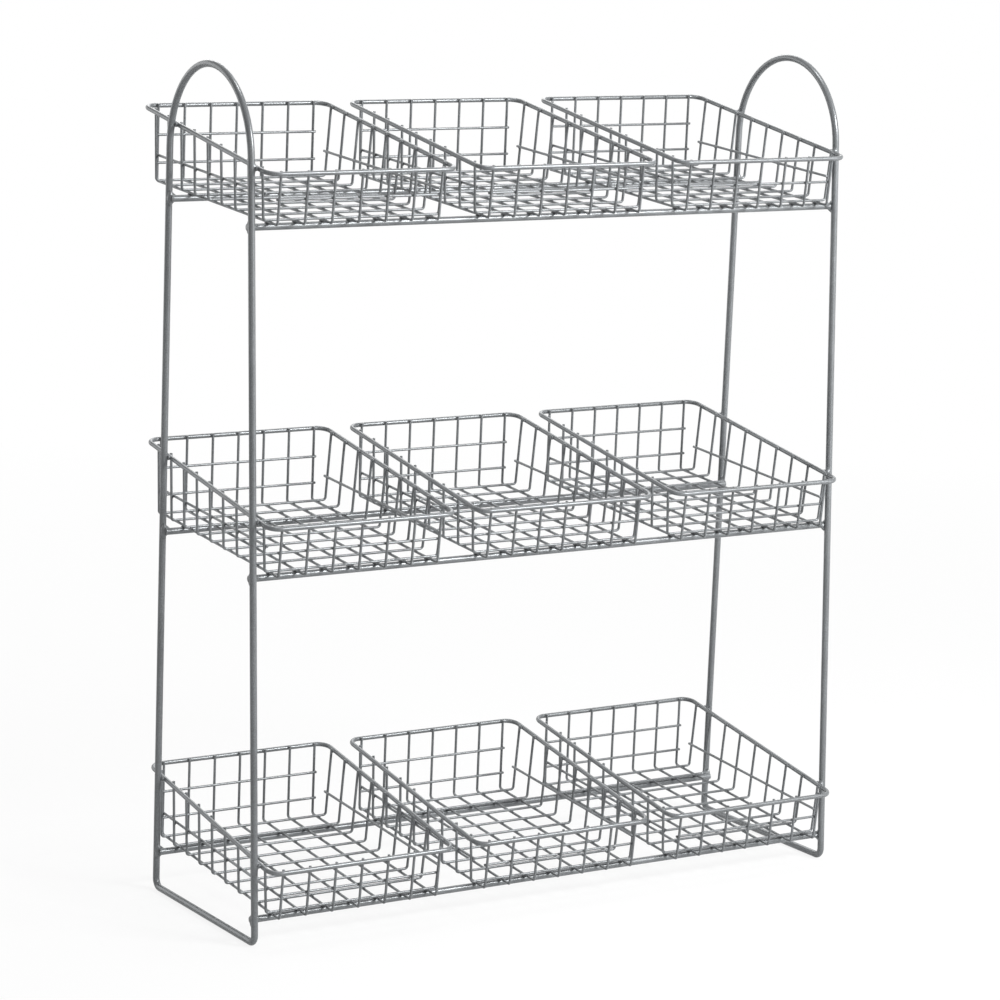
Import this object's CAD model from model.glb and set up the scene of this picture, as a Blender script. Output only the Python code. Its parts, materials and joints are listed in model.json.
"""Looks of the countertop basket rack: camera, coats, welds, rounded wire ends and studio."""
import json
import math
import random
from functools import partial

import bmesh
import bpy
from mathutils import Matrix, Vector


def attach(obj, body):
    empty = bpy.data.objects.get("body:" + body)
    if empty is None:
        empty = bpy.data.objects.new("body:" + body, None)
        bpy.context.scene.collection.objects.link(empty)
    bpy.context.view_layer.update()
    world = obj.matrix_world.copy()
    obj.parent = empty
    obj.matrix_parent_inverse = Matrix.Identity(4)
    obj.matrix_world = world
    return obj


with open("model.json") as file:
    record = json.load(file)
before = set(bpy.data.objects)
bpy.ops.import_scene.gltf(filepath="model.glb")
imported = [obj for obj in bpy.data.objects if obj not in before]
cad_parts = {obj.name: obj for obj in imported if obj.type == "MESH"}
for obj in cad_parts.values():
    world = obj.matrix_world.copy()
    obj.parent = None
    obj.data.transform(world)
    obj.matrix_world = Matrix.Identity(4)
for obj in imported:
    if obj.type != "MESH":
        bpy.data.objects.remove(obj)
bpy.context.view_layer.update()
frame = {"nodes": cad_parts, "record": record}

# The rack's sizes below are in millimetres, and Blender's in metres
MM = 0.001

# Signs of x at the rack's two sides, and of y at its front and back
LEFT, RIGHT = -1, 1
FRONT, BACK = -1, 1

# The camera, at the photograph's viewpoint, in metres. Azimuth is measured from straight in front
# of the rack towards its right, and the focal length is in pixels of the square image.
CAM_AT = Vector((-1.5884, -2.6122, 0.8986))
CAM_AZIMUTH = math.radians(-31.343)
CAM_DOWN = math.radians(10.271)
CAM_ROLL = math.radians(1.306)
FOCAL_PX, IMAGE_PX = 3463.4, 1000
SENSOR_WIDTH = 36
CLIP_START, CLIP_END = 0.05, 200


def make_camera():
    """The camera at the photograph's place, with its slight roll."""
    back = Vector((
        math.sin(CAM_AZIMUTH) * math.cos(CAM_DOWN),
        -math.cos(CAM_AZIMUTH) * math.cos(CAM_DOWN),
        math.sin(CAM_DOWN)))
    level = Vector((math.cos(CAM_AZIMUTH), math.sin(CAM_AZIMUTH), 0))
    upright = back.cross(level)
    right = math.cos(CAM_ROLL) * level + math.sin(CAM_ROLL) * upright
    up = math.cos(CAM_ROLL) * upright - math.sin(CAM_ROLL) * level
    data = bpy.data.cameras.new("photo_camera")
    data.sensor_fit = "AUTO"
    data.sensor_width = SENSOR_WIDTH
    data.lens = FOCAL_PX / IMAGE_PX * SENSOR_WIDTH
    data.clip_start, data.clip_end = CLIP_START, CLIP_END
    camera = bpy.data.objects.new("photo_camera", data)
    turn = Matrix((right, up, back)).transposed()
    camera.matrix_world = Matrix.Translation(CAM_AT) @ turn.to_4x4()
    bpy.context.scene.collection.objects.link(camera)
    bpy.context.scene.camera = camera


make_camera()

# Side frames, with sizes as in the part's source, here and below
FRAME_WIRE, RACK_H, FOOT_SPREAD, ARCH_R = 6.0, 740.0, 192.1, 76.1

# Tiers and cross rods
TIERS, COLUMNS = ("bottom", "middle", "top"), ("left", "centre", "right")
FIRST_ROD_Z, TIER_RISE, SLOPE = 22.6, 292.5, math.radians(4.25)
ROD_WIRE, ROD_TO_MIDDLE = 6.0, 96.6
ROD_END = {FRONT: 1.0, BACK: 0.2}

# Basket rims
RIM_W, RIM_D, RIM_GAP, RIM_WIRE = 181.9, 243.7, 19.8, 4.0
RIM_H = {FRONT: 40.9, BACK: 62.7}

# Basket mesh and the heights of its bands
MESH_WIRE, MESH, SIDE_FLARE, END_FLARE, MESH_BEND_R = 2.3, 25.4, 2.8, 2.6, 2.7
BANDS = {FRONT: (18.7,), BACK: (13.7, 38.0)}
SIDE_BAND_H, BAND_END = 22.1, 1.2

# A leg leans in from the foot by LEAN and meets the handle arch at a tangent at ARCH_START
ARCH_Z = RACK_H - FRAME_WIRE / 2 - ARCH_R
LEG_RUN, LEG_RISE = FOOT_SPREAD / 2, ARCH_Z - FRAME_WIRE / 2
LEAN = math.atan(LEG_RUN / LEG_RISE) - math.asin(ARCH_R / math.hypot(LEG_RUN, LEG_RISE))
ARCH_START = ARCH_Z + ARCH_R * math.sin(LEAN)

# The baskets stand side by side, and the outer rims lie against the legs
PITCH = RIM_W + RIM_GAP
FRAME_X = PITCH + RIM_W / 2 + FRAME_WIRE / 2

# Centre line of the rim's wire, and the floor inside the flare of the walls. A basket's own z
# starts at the centres of the cross wires, and its long wires run right under them.
RIM_X, RIM_Y = (RIM_W - RIM_WIRE) / 2, (RIM_D - RIM_WIRE) / 2
RIM_TILT = math.atan((RIM_H[BACK] - RIM_H[FRONT]) / (2 * RIM_Y))
SEAT = (RIM_WIRE + MESH_WIRE) / 2
FLOOR_X, FLOOR_Y = RIM_X - SEAT - SIDE_FLARE, RIM_Y - SEAT - END_FLARE
LONG_Z = -MESH_WIRE

# How far a rod's centre lies from a leg's, level, and how far under a basket's z of 0
ROD_SEAT = (FRAME_WIRE + ROD_WIRE) / 2 / math.cos(LEAN)
LIFT = ROD_WIRE / 2 + MESH_WIRE * 1.5

# Directions: across the rack, back along a basket's floor, up from it, and back along a rim's side
ACROSS = Vector((1, 0, 0))
ALONG = Vector((0, math.cos(SLOPE), math.sin(SLOPE)))
UPWARD = Vector((0, -math.sin(SLOPE), math.cos(SLOPE)))
RIM_WAY = Vector((0, math.cos(SLOPE + RIM_TILT), math.sin(SLOPE + RIM_TILT)))


def leg_y(z):
    """Distance of a side frame's wire from the middle of its frame at height z."""
    if z > ARCH_START:
        return math.sqrt(ARCH_R ** 2 - (z - ARCH_Z) ** 2)
    return FOOT_SPREAD / 2 - (z - FRAME_WIRE / 2) * math.tan(LEAN)


def rod_place(tier, end):
    """Y and Z of a tier's front or back rod, measured from the side frames' middle."""
    z = FIRST_ROD_Z + tier * TIER_RISE
    y = ROD_SEAT - leg_y(z)
    if end == FRONT:
        return y, z
    span = (leg_y(z) - ROD_SEAT - y) / (1 + math.tan(SLOPE) * math.tan(LEAN))
    return y + span, z + span * math.tan(SLOPE)


def rim_h(y):
    """Height of the rim's centre above the floor at y."""
    return (RIM_H[BACK] + RIM_H[FRONT]) / 2 + y * (RIM_H[BACK] - RIM_H[FRONT]) / (2 * RIM_Y)


def raw_place(tier, y, z):
    """A basket's own y and z, turned by the floor's slope and set on its rods."""
    rod_y, rod_z = rod_place(tier, FRONT)
    y, z = ROD_TO_MIDDLE + y, LIFT + z
    return (rod_y + math.cos(SLOPE) * y - math.sin(SLOPE) * z,
            rod_z + math.sin(SLOPE) * y + math.cos(SLOPE) * z)


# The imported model's origin is half-way between the frontmost rim and the rearmost one
MID_Y = (min(raw_place(tier, -RIM_Y, RIM_H[FRONT])[0] for tier in range(len(TIERS)))
         + max(raw_place(tier, RIM_Y, RIM_H[BACK])[0] for tier in range(len(TIERS)))) / 2


def in_rack(tier, column, x, y, z):
    """A point of a basket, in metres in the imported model."""
    rack_y, rack_z = raw_place(tier, y, z)
    return Vector(((column - 1) * PITCH + x, rack_y - MID_Y, rack_z)) * MM


def places(half):
    """Centres of the mesh wires that fit between the bends of the wires that they cross."""
    count = math.floor((half - MESH_BEND_R) * 2 / MESH) + 1
    return [(i - (count - 1) / 2) * MESH for i in range(count)]


# X of a basket's long wires and y of its cross wires
LONG_AT, CROSS_AT = places(FLOOR_X), places(FLOOR_Y)


def up_to(floor, seat, z):
    """Place at height z of an upright that runs from floor to seat, each (place, height)."""
    return floor[0] + (seat[0] - floor[0]) * (z - floor[1]) / (seat[1] - floor[1])


def end_y(end, z):
    """Distance from a basket's middle to its front or back uprights, at height z."""
    return up_to((FLOOR_Y, LONG_Z), (RIM_Y - SEAT, RIM_H[end]), z)


def side_x(y, z):
    """Distance from a basket's middle to its side upright at y, at height z."""
    return up_to((FLOOR_X, 0), (RIM_X - SEAT, rim_h(y)), z)


# Materials. The paint's colour, how much of a metal it is and the grey of its gloss
SILVER = (0.183, 0.192, 0.199)
METAL_SHARE, GLOSS_GREY = 0.3, 0.55

# Tone of the coat where it is thin and thick, with the stretch of the noise between the two
THIN_TONE, THICK_TONE = 0.86, 1.12
DRIFT_RANGE = (0.3, 0.72)

# How much a flake's tone varies, the stretch of grain that makes the gloss patchy, how much of the
# skin's height is grain, and how dark the welds on the rods are
FLAKE_SPREAD = 0.09
GRAIN_RANGE = (0.3, 0.7)
GRAIN_SHARE = 0.35
WELD_TONE = 0.45


def node(tree, kind, **values):
    """A new node, with each value set on the input or else the property of that name."""
    made = tree.nodes.new(kind)
    for key, value in values.items():
        if key in made.inputs:
            made.inputs[key].default_value = value
        else:
            setattr(made, key, value)
    return made


def stretch(tree, value, given, wanted):
    """A socket with the value stretched from the given range, low and high, to the wanted one."""
    made = node(tree, "ShaderNodeMapRange", **{
        "From Min": given[0], "From Max": given[1], "To Min": wanted[0], "To Max": wanted[1]})
    tree.links.new(value, made.inputs["Value"])
    return made.outputs["Result"]


def coat(name, colour, roughness=(0.24, 0.32), bump=0.01):
    """Silver-grey metallic paint: fine flakes, slow tone drift and a faint orange-peel skin.

    roughness is the range that the gloss varies in, and bump the skin's height in millimetres.
    """
    mat = bpy.data.materials.new(name)
    mat.use_nodes = True
    tree = mat.node_tree
    link = tree.links.new
    shader = tree.nodes["Principled BSDF"]
    shader.inputs["Metallic"].default_value = METAL_SHARE
    shader.inputs["Specular Tint"].default_value = (GLOSS_GREY, GLOSS_GREY, GLOSS_GREY, 1)
    where = node(tree, "ShaderNodeTexCoord")
    drift = node(tree, "ShaderNodeTexNoise", Scale=22.0, Detail=4.0, Roughness=0.55)
    grain = node(tree, "ShaderNodeTexNoise", Scale=1500.0, Detail=2.0, Roughness=0.6)
    flake = node(tree, "ShaderNodeTexVoronoi", Scale=2600.0)
    skin = node(tree, "ShaderNodeTexNoise", Scale=620.0, Detail=3.0, Roughness=0.5)
    for texture in (drift, grain, flake, skin):
        link(where.outputs["Object"], texture.inputs["Vector"])
    # Tone: slow drift of the coat's thickness
    tone = node(tree, "ShaderNodeValToRGB")
    for stop, place, share in zip(tone.color_ramp.elements, DRIFT_RANGE, (THIN_TONE, THICK_TONE)):
        stop.position = place
        stop.color = [min(c * share, 1) for c in colour] + [1]
    link(drift.outputs["Fac"], tone.inputs["Fac"])
    # Flakes: each cell of the fine pattern is a little lighter or darker than the next
    spark = stretch(tree, flake.outputs["Color"], (0, 1), (1 - FLAKE_SPREAD, 1 + FLAKE_SPREAD))
    mixed = node(tree, "ShaderNodeMix", data_type="RGBA", blend_type="MULTIPLY")
    mixed.inputs["Factor"].default_value = 1
    link(tone.outputs["Color"], mixed.inputs["A"])
    link(spark, mixed.inputs["B"])
    link(mixed.outputs["Result"], shader.inputs["Base Color"])
    # Gloss: a little patchy
    link(stretch(tree, grain.outputs["Fac"], GRAIN_RANGE, roughness), shader.inputs["Roughness"])
    # Skin: orange peel with fine grain on it
    height = node(tree, "ShaderNodeMath", operation="MULTIPLY_ADD")
    height.inputs[1].default_value = GRAIN_SHARE
    link(grain.outputs["Fac"], height.inputs[0])
    link(skin.outputs["Fac"], height.inputs[2])
    rise = node(tree, "ShaderNodeBump", Strength=0.5, Distance=bump * MM)
    link(height.outputs["Value"], rise.inputs["Height"])
    link(rise.outputs["Normal"], shader.inputs["Normal"])
    return mat


COATS = {slot: coat(slot, SILVER) for slot in ("frame_coat", "rod_coat", "rim_coat", "mesh_coat")}
DARK_COAT = coat("weld_coat", tuple(c * WELD_TONE for c in SILVER), roughness=(0.4, 0.55), bump=0.12)

slots = {part["node"]: part["material_slot"] for part in frame["record"]["subparts"]}
for name, obj in frame["nodes"].items():
    for slot in obj.material_slots:
        slot.material = COATS[slots[name]]

# Shapes of weld metal and of rounded wire ends: places are in metres, and their other sizes in
# millimetres. No two welds are quite alike, and the seed keeps them the same in every run.
SEED = 41
RNG = random.Random(SEED)

# Sides and rings of a bead, how uneven beads are in size and turn, and how rough their skin is
BEAD_SIDES, BEAD_RINGS = 12, 5
BEAD_UNEVEN, BEAD_ROUGH = 0.12, 0.04

# How deep the hidden underside of a rounded end goes into its wire
DOME_ROOT = 0.1

# How many degrees a fillet spreads each way round its wire, its steps round and along the wire,
# how steeply its bell falls and how far down it is cut off, and the levels of its edges and its
# underside against the wire's skin
FILLET_SPREAD, FILLET_TURNS, FILLET_ROWS = 68, 20, 24
BELL_STEEP, BELL_CUT = 2.1, 4.4
FILLET_EDGE, FILLET_UNDER = -0.03, -0.5

# How far a fillet may be shifted along its wire, turned round it in degrees and rippled, and how
# small and large it may be
FILLET_SHIFT, FILLET_LEAN, FILLET_RIPPLE = 0.5, 6, 0.05
FILLET_SIZE = (0.85, 1.1)

# Sides and rings of a web, how uneven its corners are, and the power of its outline: hollow where
# it is under 1 and round where it is 2
WEB_SIDES, WEB_RINGS, WEB_UNEVEN = 48, 7, 0.15
WEB_HOLLOW, WEB_ROUND = 0.85, 2


def unit(angle, rise):
    """Point of the unit sphere at an angle round it and a rise over its equator."""
    return math.cos(angle) * math.cos(rise), math.sin(angle) * math.cos(rise), math.sin(rise)


def around(sides):
    """The angles of so many even steps round a circle."""
    return [2 * math.pi * i / sides for i in range(sides)]


def rises(rings):
    """The rises of so many even rings between the lowest and the highest point of a sphere."""
    return [-math.pi / 2 + math.pi * j / (rings + 1) for j in range(1, rings + 1)]


def close_rings(bm, rings, low, high):
    """Skins a stack of rings and closes it with a low and a high point."""
    sides = len(rings[0])
    for i in range(sides):
        k = (i + 1) % sides
        bm.faces.new((low, rings[0][k], rings[0][i]))
        bm.faces.new((high, rings[-1][i], rings[-1][k]))
        for under, over in zip(rings, rings[1:]):
            bm.faces.new((under[i], under[k], over[k], over[i]))


def close_layers(bm, top, bottom):
    """Skins a top and a bottom layer of points, both in rows, and closes them along the edges."""
    rows, turns = len(top) - 1, len(top[0]) - 1
    for j in range(rows):
        for i in range(turns):
            bm.faces.new((top[j][i], top[j][i + 1], top[j + 1][i + 1], top[j + 1][i]))
            bm.faces.new((bottom[j][i], bottom[j + 1][i], bottom[j + 1][i + 1], bottom[j][i + 1]))
    for j in range(rows):
        bm.faces.new((top[j][0], top[j + 1][0], bottom[j + 1][0], bottom[j][0]))
        bm.faces.new((top[j][-1], bottom[j][-1], bottom[j + 1][-1], top[j + 1][-1]))
    for i in range(turns):
        bm.faces.new((top[0][i], bottom[0][i], bottom[0][i + 1], top[0][i + 1]))
        bm.faces.new((top[-1][i], top[-1][i + 1], bottom[-1][i + 1], bottom[-1][i]))


def bead(bm, centre, along_a, along_b, reach_a, reach_b, height, lobes=0.28):
    """A weld nugget at the touch of two crossing wires: flat, with a lobe in each corner.

    reach_a and reach_b are how far it runs each way along the two wires, and height is how far
    it stands out on either side of the touch.
    """
    a = along_a.normalized()
    b = (along_b - along_b.dot(a) * a).normalized()
    normal = a.cross(b)
    size = 1 + RNG.uniform(-BEAD_UNEVEN, BEAD_UNEVEN)
    turn = RNG.uniform(-BEAD_UNEVEN, BEAD_UNEVEN)
    rings = []
    for rise in rises(BEAD_RINGS):
        ring = []
        for angle in around(BEAD_SIDES):
            x, y, z = unit(angle, rise)
            lobe = 1 + lobes * math.sin(2 * (angle + turn)) ** 2
            rough = 1 + RNG.uniform(-BEAD_ROUGH, BEAD_ROUGH)
            flat = (a * reach_a * x * lobe + b * reach_b * y * lobe) * size * rough * MM
            ring.append(bm.verts.new(centre + flat + normal * (height * z * MM)))
        rings.append(ring)
    low = bm.verts.new(centre - normal * height * MM)
    high = bm.verts.new(centre + normal * height * MM)
    close_rings(bm, rings, low, high)


def dome(bm, end, axis, radius, height, sides=12, rings=4):
    """The rounded coat over a cut wire end, which faces along axis."""
    way = axis.normalized()
    a = way.orthogonal().normalized()
    b = way.cross(a)
    grid = []
    for j in range(rings):
        rise = math.pi / 2 * j / rings
        out = radius * math.cos(rise)
        grid.append([
            bm.verts.new(end + ((a * math.cos(angle) + b * math.sin(angle)) * out
                                + way * height * math.sin(rise)) * MM)
            for angle in around(sides)])
    top = bm.verts.new(end + way * height * MM)
    bottom = bm.verts.new(end - way * DOME_ROOT * MM)
    close_rings(bm, grid, bottom, top)


def fillet(bm, centre, axis, towards, height, length):
    """Weld metal on a side frame's wire at its touch with another: a hump with hollow shoulders.

    centre is on the wire's own centre line, towards points at the other wire, and length is
    how far the hump runs each way along the wire before it has died away.
    """
    axis = axis.normalized()
    out = (towards - towards.dot(axis) * axis).normalized()
    across = axis.cross(out)
    shift = RNG.uniform(-FILLET_SHIFT, FILLET_SHIFT)
    lean = RNG.uniform(-FILLET_LEAN, FILLET_LEAN)
    size = RNG.uniform(*FILLET_SIZE)
    layers = []
    for level, proud in ((FILLET_EDGE, height * size), (FILLET_UNDER, 0)):
        layer = []
        for j in range(FILLET_ROWS + 1):
            along = -1 + 2 * j / FILLET_ROWS
            fall = ((along * length - shift) / length * BELL_STEEP) ** 2
            bell = max(math.exp(-fall) - math.exp(-BELL_CUT), 0)
            row = []
            for i in range(FILLET_TURNS + 1):
                angle = FILLET_SPREAD * (-1 + 2 * i / FILLET_TURNS)
                window = math.cos(math.radians(angle * 90 / FILLET_SPREAD)) ** 2
                ripple = 1 + RNG.uniform(-FILLET_RIPPLE, FILLET_RIPPLE)
                turn = math.radians(angle + lean * window)
                way = out * math.cos(turn) + across * math.sin(turn)
                radius = FRAME_WIRE / 2 + (level + proud * window * bell * ripple)
                row.append(bm.verts.new(centre + (axis * along * length + way * radius) * MM))
            layer.append(row)
        layers.append(layer)
    close_layers(bm, *layers)


def web(bm, centre, along, upright, reach, back_reach, rise, height):
    """Weld metal at the crossing of two wires near the end of one of them.

    On the side that along points to it has two hollow corners, which reach along that wire and
    rise up and down the other one. On the other side, over the wire's end, it is a full hump.
    """
    a = along.normalized()
    b = (upright - upright.dot(a) * a).normalized()
    normal = a.cross(b)
    lower, upper = (1 + RNG.uniform(-WEB_UNEVEN, WEB_UNEVEN) for _ in range(2))
    rings = []
    for lift in rises(WEB_RINGS):
        ring = []
        for angle in around(WEB_SIDES):
            x, y, z = unit(angle, lift)
            arm, power = (reach, WEB_HOLLOW) if x > 0 else (back_reach, WEB_ROUND)
            c, s = abs(math.cos(angle)) / arm, abs(math.sin(angle)) / rise
            radius = (c ** power + s ** power) ** (-1 / power)
            if x > 0:
                radius *= (upper if y > 0 else lower) ** abs(math.sin(2 * angle))
            radius *= math.cos(lift)
            flat = a * math.cos(angle) * radius + b * math.sin(angle) * radius
            ring.append(bm.verts.new(centre + (flat + normal * height * z) * MM))
        rings.append(ring)
    low = bm.verts.new(centre - normal * height * MM)
    high = bm.verts.new(centre + normal * height * MM)
    close_rings(bm, rings, low, high)


def piece(name, bm, material):
    """Turns a bmesh into a smooth piece that rides on the rack's one body."""
    mesh = bpy.data.meshes.new(name)
    bm.to_mesh(mesh)
    bm.free()
    for face in mesh.polygons:
        face.use_smooth = True
    mesh.materials.append(material)
    obj = bpy.data.objects.new(name, mesh)
    bpy.context.scene.collection.objects.link(obj)
    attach(obj, "root")


# Beads at crossings of the mesh, at the end and side uprights on the rim, under the floor on a
# rod, at a side band, and beside a leg on the rim
CROSSING = {"reach_a": 1.25, "reach_b": 1.25, "height": 0.55}
END_ON_RIM = {"reach_a": 2.3, "reach_b": 1.6, "height": 1.1, "lobes": 0}
SIDE_ON_RIM = {"reach_a": 2.6, "reach_b": 1.6, "height": 1.2, "lobes": 0}
FLOOR_ON_ROD = {"reach_a": 2.1, "reach_b": 2.4, "height": 1.2}
SIDE_BAND = {"reach_a": 1.3, "reach_b": 1.5, "height": 0.6}
RIM_ON_LEG = {"reach_a": 2.4, "reach_b": 1.8, "height": 2.1, "lobes": 0}

# A side band's bead sits a little low, and a rim's two beads stand so far from the leg's middle
SIDE_BAND_DROP, RIM_ON_LEG_STEP = 0.6, 3

# Larger welds on a leg, of a rod's end and of an outer rim. The rim's also turns a little towards
# the front at a front leg and towards the back at a back one.
ROD_FILLET = {"height": 3.2, "length": 7}
ROD_WEB = {"reach": 9, "back_reach": 2.8, "rise": 7, "height": 2.4}
RIM_FILLET = {"height": 2.4, "length": 5.5}
RIM_FILLET_TURN = 0.4

# Heights of the rounded ends of uprights, bands and rods
UPRIGHT_DOME, BAND_DOME, ROD_DOME = 0.15, 0.4, 0.3


def rod_under(tier, end):
    """Y at which the front or back rod passes under a basket's floor."""
    return (rod_place(tier, end)[0] - rod_place(tier, FRONT)[0]) / math.cos(SLOPE) - ROD_TO_MIDDLE


def mesh_welds(tier, column):
    """Every resistance weld of one basket: floor crossings, rim, bands and rods."""
    light, dark = bmesh.new(), bmesh.new()
    spot = partial(in_rack, tier, column)
    half = MESH_WIRE / 2
    for x in LONG_AT:
        for y in CROSS_AT:
            bead(light, spot(x, y, LONG_Z / 2), ACROSS, ALONG, **CROSSING)
    for x in LONG_AT:
        for end in (FRONT, BACK):
            on_rim = spot(x, end * (RIM_Y - RIM_WIRE / 2), RIM_H[end])
            bead(light, on_rim, ACROSS, UPWARD, **END_ON_RIM)
            for z in BANDS[end]:
                bead(light, spot(x, end * (end_y(end, z) - half), z), ACROSS, UPWARD, **CROSSING)
            on_rod = spot(x, rod_under(tier, end), LONG_Z - half)
            bead(dark, on_rod, ACROSS, ALONG, **FLOOR_ON_ROD)
    for y in CROSS_AT:
        for side in (LEFT, RIGHT):
            on_rim = spot(side * (RIM_X - RIM_WIRE / 2), y, rim_h(y))
            bead(light, on_rim, ALONG, UPWARD, **SIDE_ON_RIM)
            x = side_x(y, SIDE_BAND_H) - half
            on_band = spot(side * x, y, SIDE_BAND_H - SIDE_BAND_DROP)
            bead(dark, on_band, ALONG, UPWARD, **SIDE_BAND)
    name = f"{TIERS[tier]}_{COLUMNS[column]}"
    piece(f"{name}_mesh_welds", light, COATS["mesh_coat"])
    piece(f"{name}_dark_welds", dark, DARK_COAT)


def upright_lines(spot):
    """The top end of each of a basket's uprights, level with the rim's top, and its foot.

    A side of -1 is both the front and the left, and one of 1 the back and the right.
    """
    for side in (-1, 1):
        for x in LONG_AT:
            top = RIM_H[side] + RIM_WIRE / 2
            yield spot(x, side * end_y(side, top), top), spot(x, side * FLOOR_Y, LONG_Z)
        for y in CROSS_AT:
            top = rim_h(y) + RIM_WIRE / 2
            yield spot(side * side_x(y, top), y, top), spot(side * FLOOR_X, y, 0)


def band_lines(spot):
    """The two ends of each of a basket's bands, which lie inside the uprights."""
    reach_x, reach_y = LONG_AT[-1] + BAND_END, CROSS_AT[-1] + BAND_END
    for end in (BACK, FRONT):
        for z in BANDS[end]:
            y = end * (end_y(end, z) - MESH_WIRE)
            yield spot(-reach_x, y, z), spot(reach_x, y, z)
    for side in (LEFT, RIGHT):
        yield tuple(
            spot(side * (side_x(y, SIDE_BAND_H) - MESH_WIRE), y, SIDE_BAND_H)
            for y in (-reach_y, reach_y))


def wire_ends(tier, column):
    """Rounded ends of one basket's uprights and of its bands."""
    bm = bmesh.new()
    spot = partial(in_rack, tier, column)
    for top, foot in upright_lines(spot):
        dome(bm, top, top - foot, MESH_WIRE / 2, UPRIGHT_DOME)
    for start, end in band_lines(spot):
        dome(bm, start, start - end, MESH_WIRE / 2, BAND_DOME)
        dome(bm, end, end - start, MESH_WIRE / 2, BAND_DOME)
    piece(f"{TIERS[tier]}_{COLUMNS[column]}_wire_ends", bm, COATS["mesh_coat"])


def rod_ends():
    """Rounded ends of the six cross rods."""
    bm = bmesh.new()
    for tier in range(len(TIERS)):
        for end in (FRONT, BACK):
            y, z = rod_place(tier, end)
            for side in (LEFT, RIGHT):
                tip = Vector((side * (FRAME_X + ROD_END[end]), y - MID_Y, z)) * MM
                dome(bm, tip, ACROSS * side, ROD_WIRE / 2, ROD_DOME, sides=24, rings=6)
    piece("rod_ends", bm, COATS["rod_coat"])


def leg_axis(end, z):
    """Direction of a side frame's front or back wire at height z."""
    lean = math.asin((z - ARCH_Z) / ARCH_R) if z > ARCH_START else LEAN
    return Vector((0, -end * math.sin(lean), math.cos(lean)))


def leg_at(side, end, z):
    """Centre of a side frame's wire at height z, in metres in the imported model."""
    return Vector((side * FRAME_X, end * leg_y(z) - MID_Y, z)) * MM


def rim_on_leg(tier, end, steps=8):
    """Height at which an outer rim passes a side frame's wire, each step nearer to it."""
    along = 0
    for _ in range(steps):
        y, z = raw_place(tier, along, rim_h(along))
        along += end * leg_y(z) - y
    return z


def rod_weld(bm, side, end, tier):
    """Weld of a rod's end on a leg."""
    _, z = rod_place(tier, end)
    leg, axis = leg_at(side, end, z), leg_axis(end, z)
    inward = Vector((0, -end, 0))
    fillet(bm, leg, axis, inward, **ROD_FILLET)
    web(bm, leg + inward * FRAME_WIRE / 2 * MM, -side * ACROSS, axis, **ROD_WEB)


def rim_weld(bm, side, end, tier):
    """Weld of an outer rim on a leg, with a bead beside the leg at the front and at the back."""
    z = rim_on_leg(tier, end)
    leg, axis = leg_at(side, end, z), leg_axis(end, z)
    fillet(bm, leg, axis, -side * ACROSS + Vector((0, end * RIM_FILLET_TURN, 0)), **RIM_FILLET)
    touch = leg - side * ACROSS * FRAME_WIRE / 2 * MM
    for step in (-RIM_ON_LEG_STEP, RIM_ON_LEG_STEP):
        bead(bm, touch + RIM_WAY * step * MM, RIM_WAY, ACROSS, **RIM_ON_LEG)


def frame_welds():
    """The rods and the outer rims on the legs."""
    rods, rims = bmesh.new(), bmesh.new()
    for side in (LEFT, RIGHT):
        for tier in range(len(TIERS)):
            for end in (FRONT, BACK):
                rod_weld(rods, side, end, tier)
                rim_weld(rims, side, end, tier)
    piece("rod_welds", rods, COATS["frame_coat"])
    piece("rim_welds", rims, COATS["frame_coat"])


for tier in range(len(TIERS)):
    for column in range(len(COLUMNS)):
        mesh_welds(tier, column)
        wire_ends(tier, column)
rod_ends()
frame_welds()

# Studio, in metres: height of the rack's middle, which the lamps face, strength of the sky light,
# and the floor's half width, tone and roughness
MIDDLE_Z = 0.35
SKY_STRENGTH = 0.08
FLOOR_HALF, FLOOR_TONE, FLOOR_ROUGH = 40, 0.92, 0.9
WHITE = (1, 1, 1, 1)

# How white the floor shows of itself beside the rack, and from where on it is all white
NEAR_WHITE, NEAR_FLOOR, FAR_FLOOR = 0.87, 0.7, 2.4


def from_centre(azimuth, rise, distance):
    """A place seen from the rack's middle, with azimuth from its front towards its right."""
    a, e = math.radians(azimuth), math.radians(rise)
    return (distance * math.sin(a) * math.cos(e), -distance * math.cos(a) * math.cos(e),
            MIDDLE_Z + distance * math.sin(e))


def lamp(name, place, size, power):
    """An area lamp at a place, of a size in metres and a power in watts, facing the rack's middle."""
    data = bpy.data.lights.new(name, "AREA")
    data.shape = "RECTANGLE"
    data.size, data.size_y = size
    data.energy = power
    obj = bpy.data.objects.new(name, data)
    obj.location = place
    way = Vector((0, 0, MIDDLE_Z)) - Vector(place)
    obj.rotation_euler = way.to_track_quat("-Z", "Y").to_euler()
    bpy.context.scene.collection.objects.link(obj)


def background_rays(tree):
    """A socket that is 1 for the rays that show a background: camera, glossy and transmission."""
    path = node(tree, "ShaderNodeLightPath")
    shown = path.outputs["Is Camera Ray"]
    for kind in ("Is Glossy Ray", "Is Transmission Ray"):
        either = node(tree, "ShaderNodeMath", operation="MAXIMUM")
        tree.links.new(shown, either.inputs[0])
        tree.links.new(path.outputs[kind], either.inputs[1])
        shown = either.outputs["Value"]
    return shown


def show_white(tree, plain, white, share, output):
    """Leads the plain shader, and in its share the white one, to the output node's surface."""
    choice = node(tree, "ShaderNodeMixShader")
    tree.links.new(share, choice.inputs["Fac"])
    tree.links.new(plain, choice.inputs[1])
    tree.links.new(white, choice.inputs[2])
    tree.links.new(choice.outputs["Shader"], tree.nodes[output].inputs["Surface"])


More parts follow.
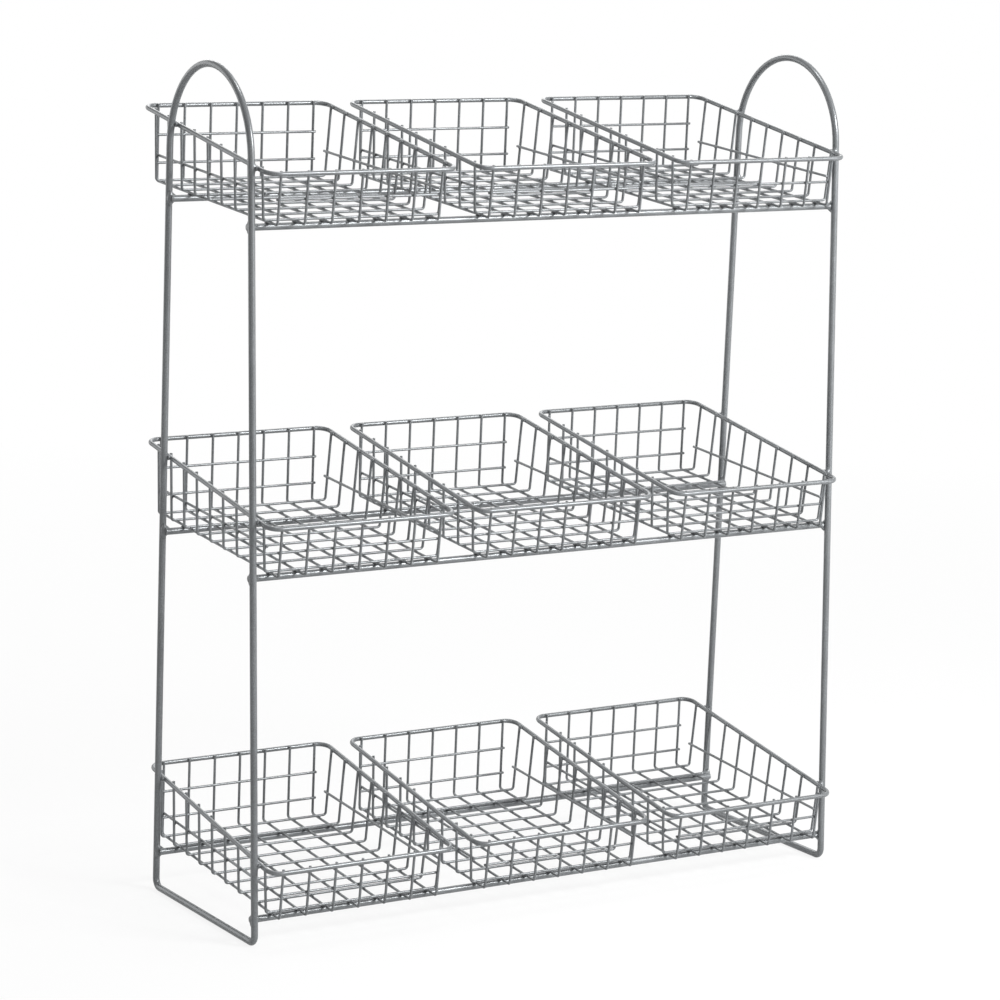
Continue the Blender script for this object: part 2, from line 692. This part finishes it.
def backdrop():
    """A white surround for camera and mirror rays, and a plain sky light for the rest."""
    world = bpy.data.worlds.new("studio_world")
    bpy.context.scene.world = world
    world.use_nodes = True
    tree = world.node_tree
    sky = tree.nodes["Background"]
    sky.inputs["Color"].default_value = WHITE
    sky.inputs["Strength"].default_value = SKY_STRENGTH
    white = node(tree, "ShaderNodeBackground", Color=WHITE, Strength=1.0)
    show_white(tree, sky.outputs["Background"], white.outputs["Background"],
               background_rays(tree), "World Output")


def floor_white():
    """Pale matt floor that shows whiter to background rays, and all white further off."""
    mat = bpy.data.materials.new("floor_white")
    mat.use_nodes = True
    tree = mat.node_tree
    shader = tree.nodes["Principled BSDF"]
    shader.inputs["Base Color"].default_value = (FLOOR_TONE, FLOOR_TONE, FLOOR_TONE, 1)
    shader.inputs["Roughness"].default_value = FLOOR_ROUGH
    white = node(tree, "ShaderNodeEmission", Color=WHITE, Strength=1.0)
    place = node(tree, "ShaderNodeTexCoord")
    away = node(tree, "ShaderNodeVectorMath", operation="LENGTH")
    tree.links.new(place.outputs["Object"], away.inputs[0])
    fade = stretch(tree, away.outputs["Value"], (NEAR_FLOOR, FAR_FLOOR), (NEAR_WHITE, 1.0))
    share = node(tree, "ShaderNodeMath", operation="MULTIPLY")
    tree.links.new(background_rays(tree), share.inputs[0])
    tree.links.new(fade, share.inputs[1])
    show_white(tree, shader.outputs["BSDF"], white.outputs["Emission"],
               share.outputs["Value"], "Material Output")
    return mat


def counter():
    """A plain white floor that keeps the rack's shadow."""
    bm = bmesh.new()
    bmesh.ops.create_grid(bm, x_segments=1, y_segments=1, size=FLOOR_HALF)
    mesh = bpy.data.meshes.new("floor")
    bm.to_mesh(mesh)
    bm.free()
    floor = bpy.data.objects.new("floor", mesh)
    bpy.context.scene.collection.objects.link(floor)
    mesh.materials.append(floor_white())


backdrop()
counter()

# Each lamp's place, size and power, with azimuth and rise in degrees and distance in metres
lamp("key", from_centre(30, 30, 2.0), (0.6, 0.5), 43)
lamp("side", from_centre(34, 8, 1.7), (1.8, 0.9), 9)
lamp("back", from_centre(214, 14, 2.6), (2.2, 1.6), 17)
lamp("rear", from_centre(150, 32, 2.6), (1.8, 1.2), 20)
lamp("top", (0.1, -0.05, 2.3), (0.35, 0.5), 13)
bpy.context.scene.view_settings.view_transform = "Standard"
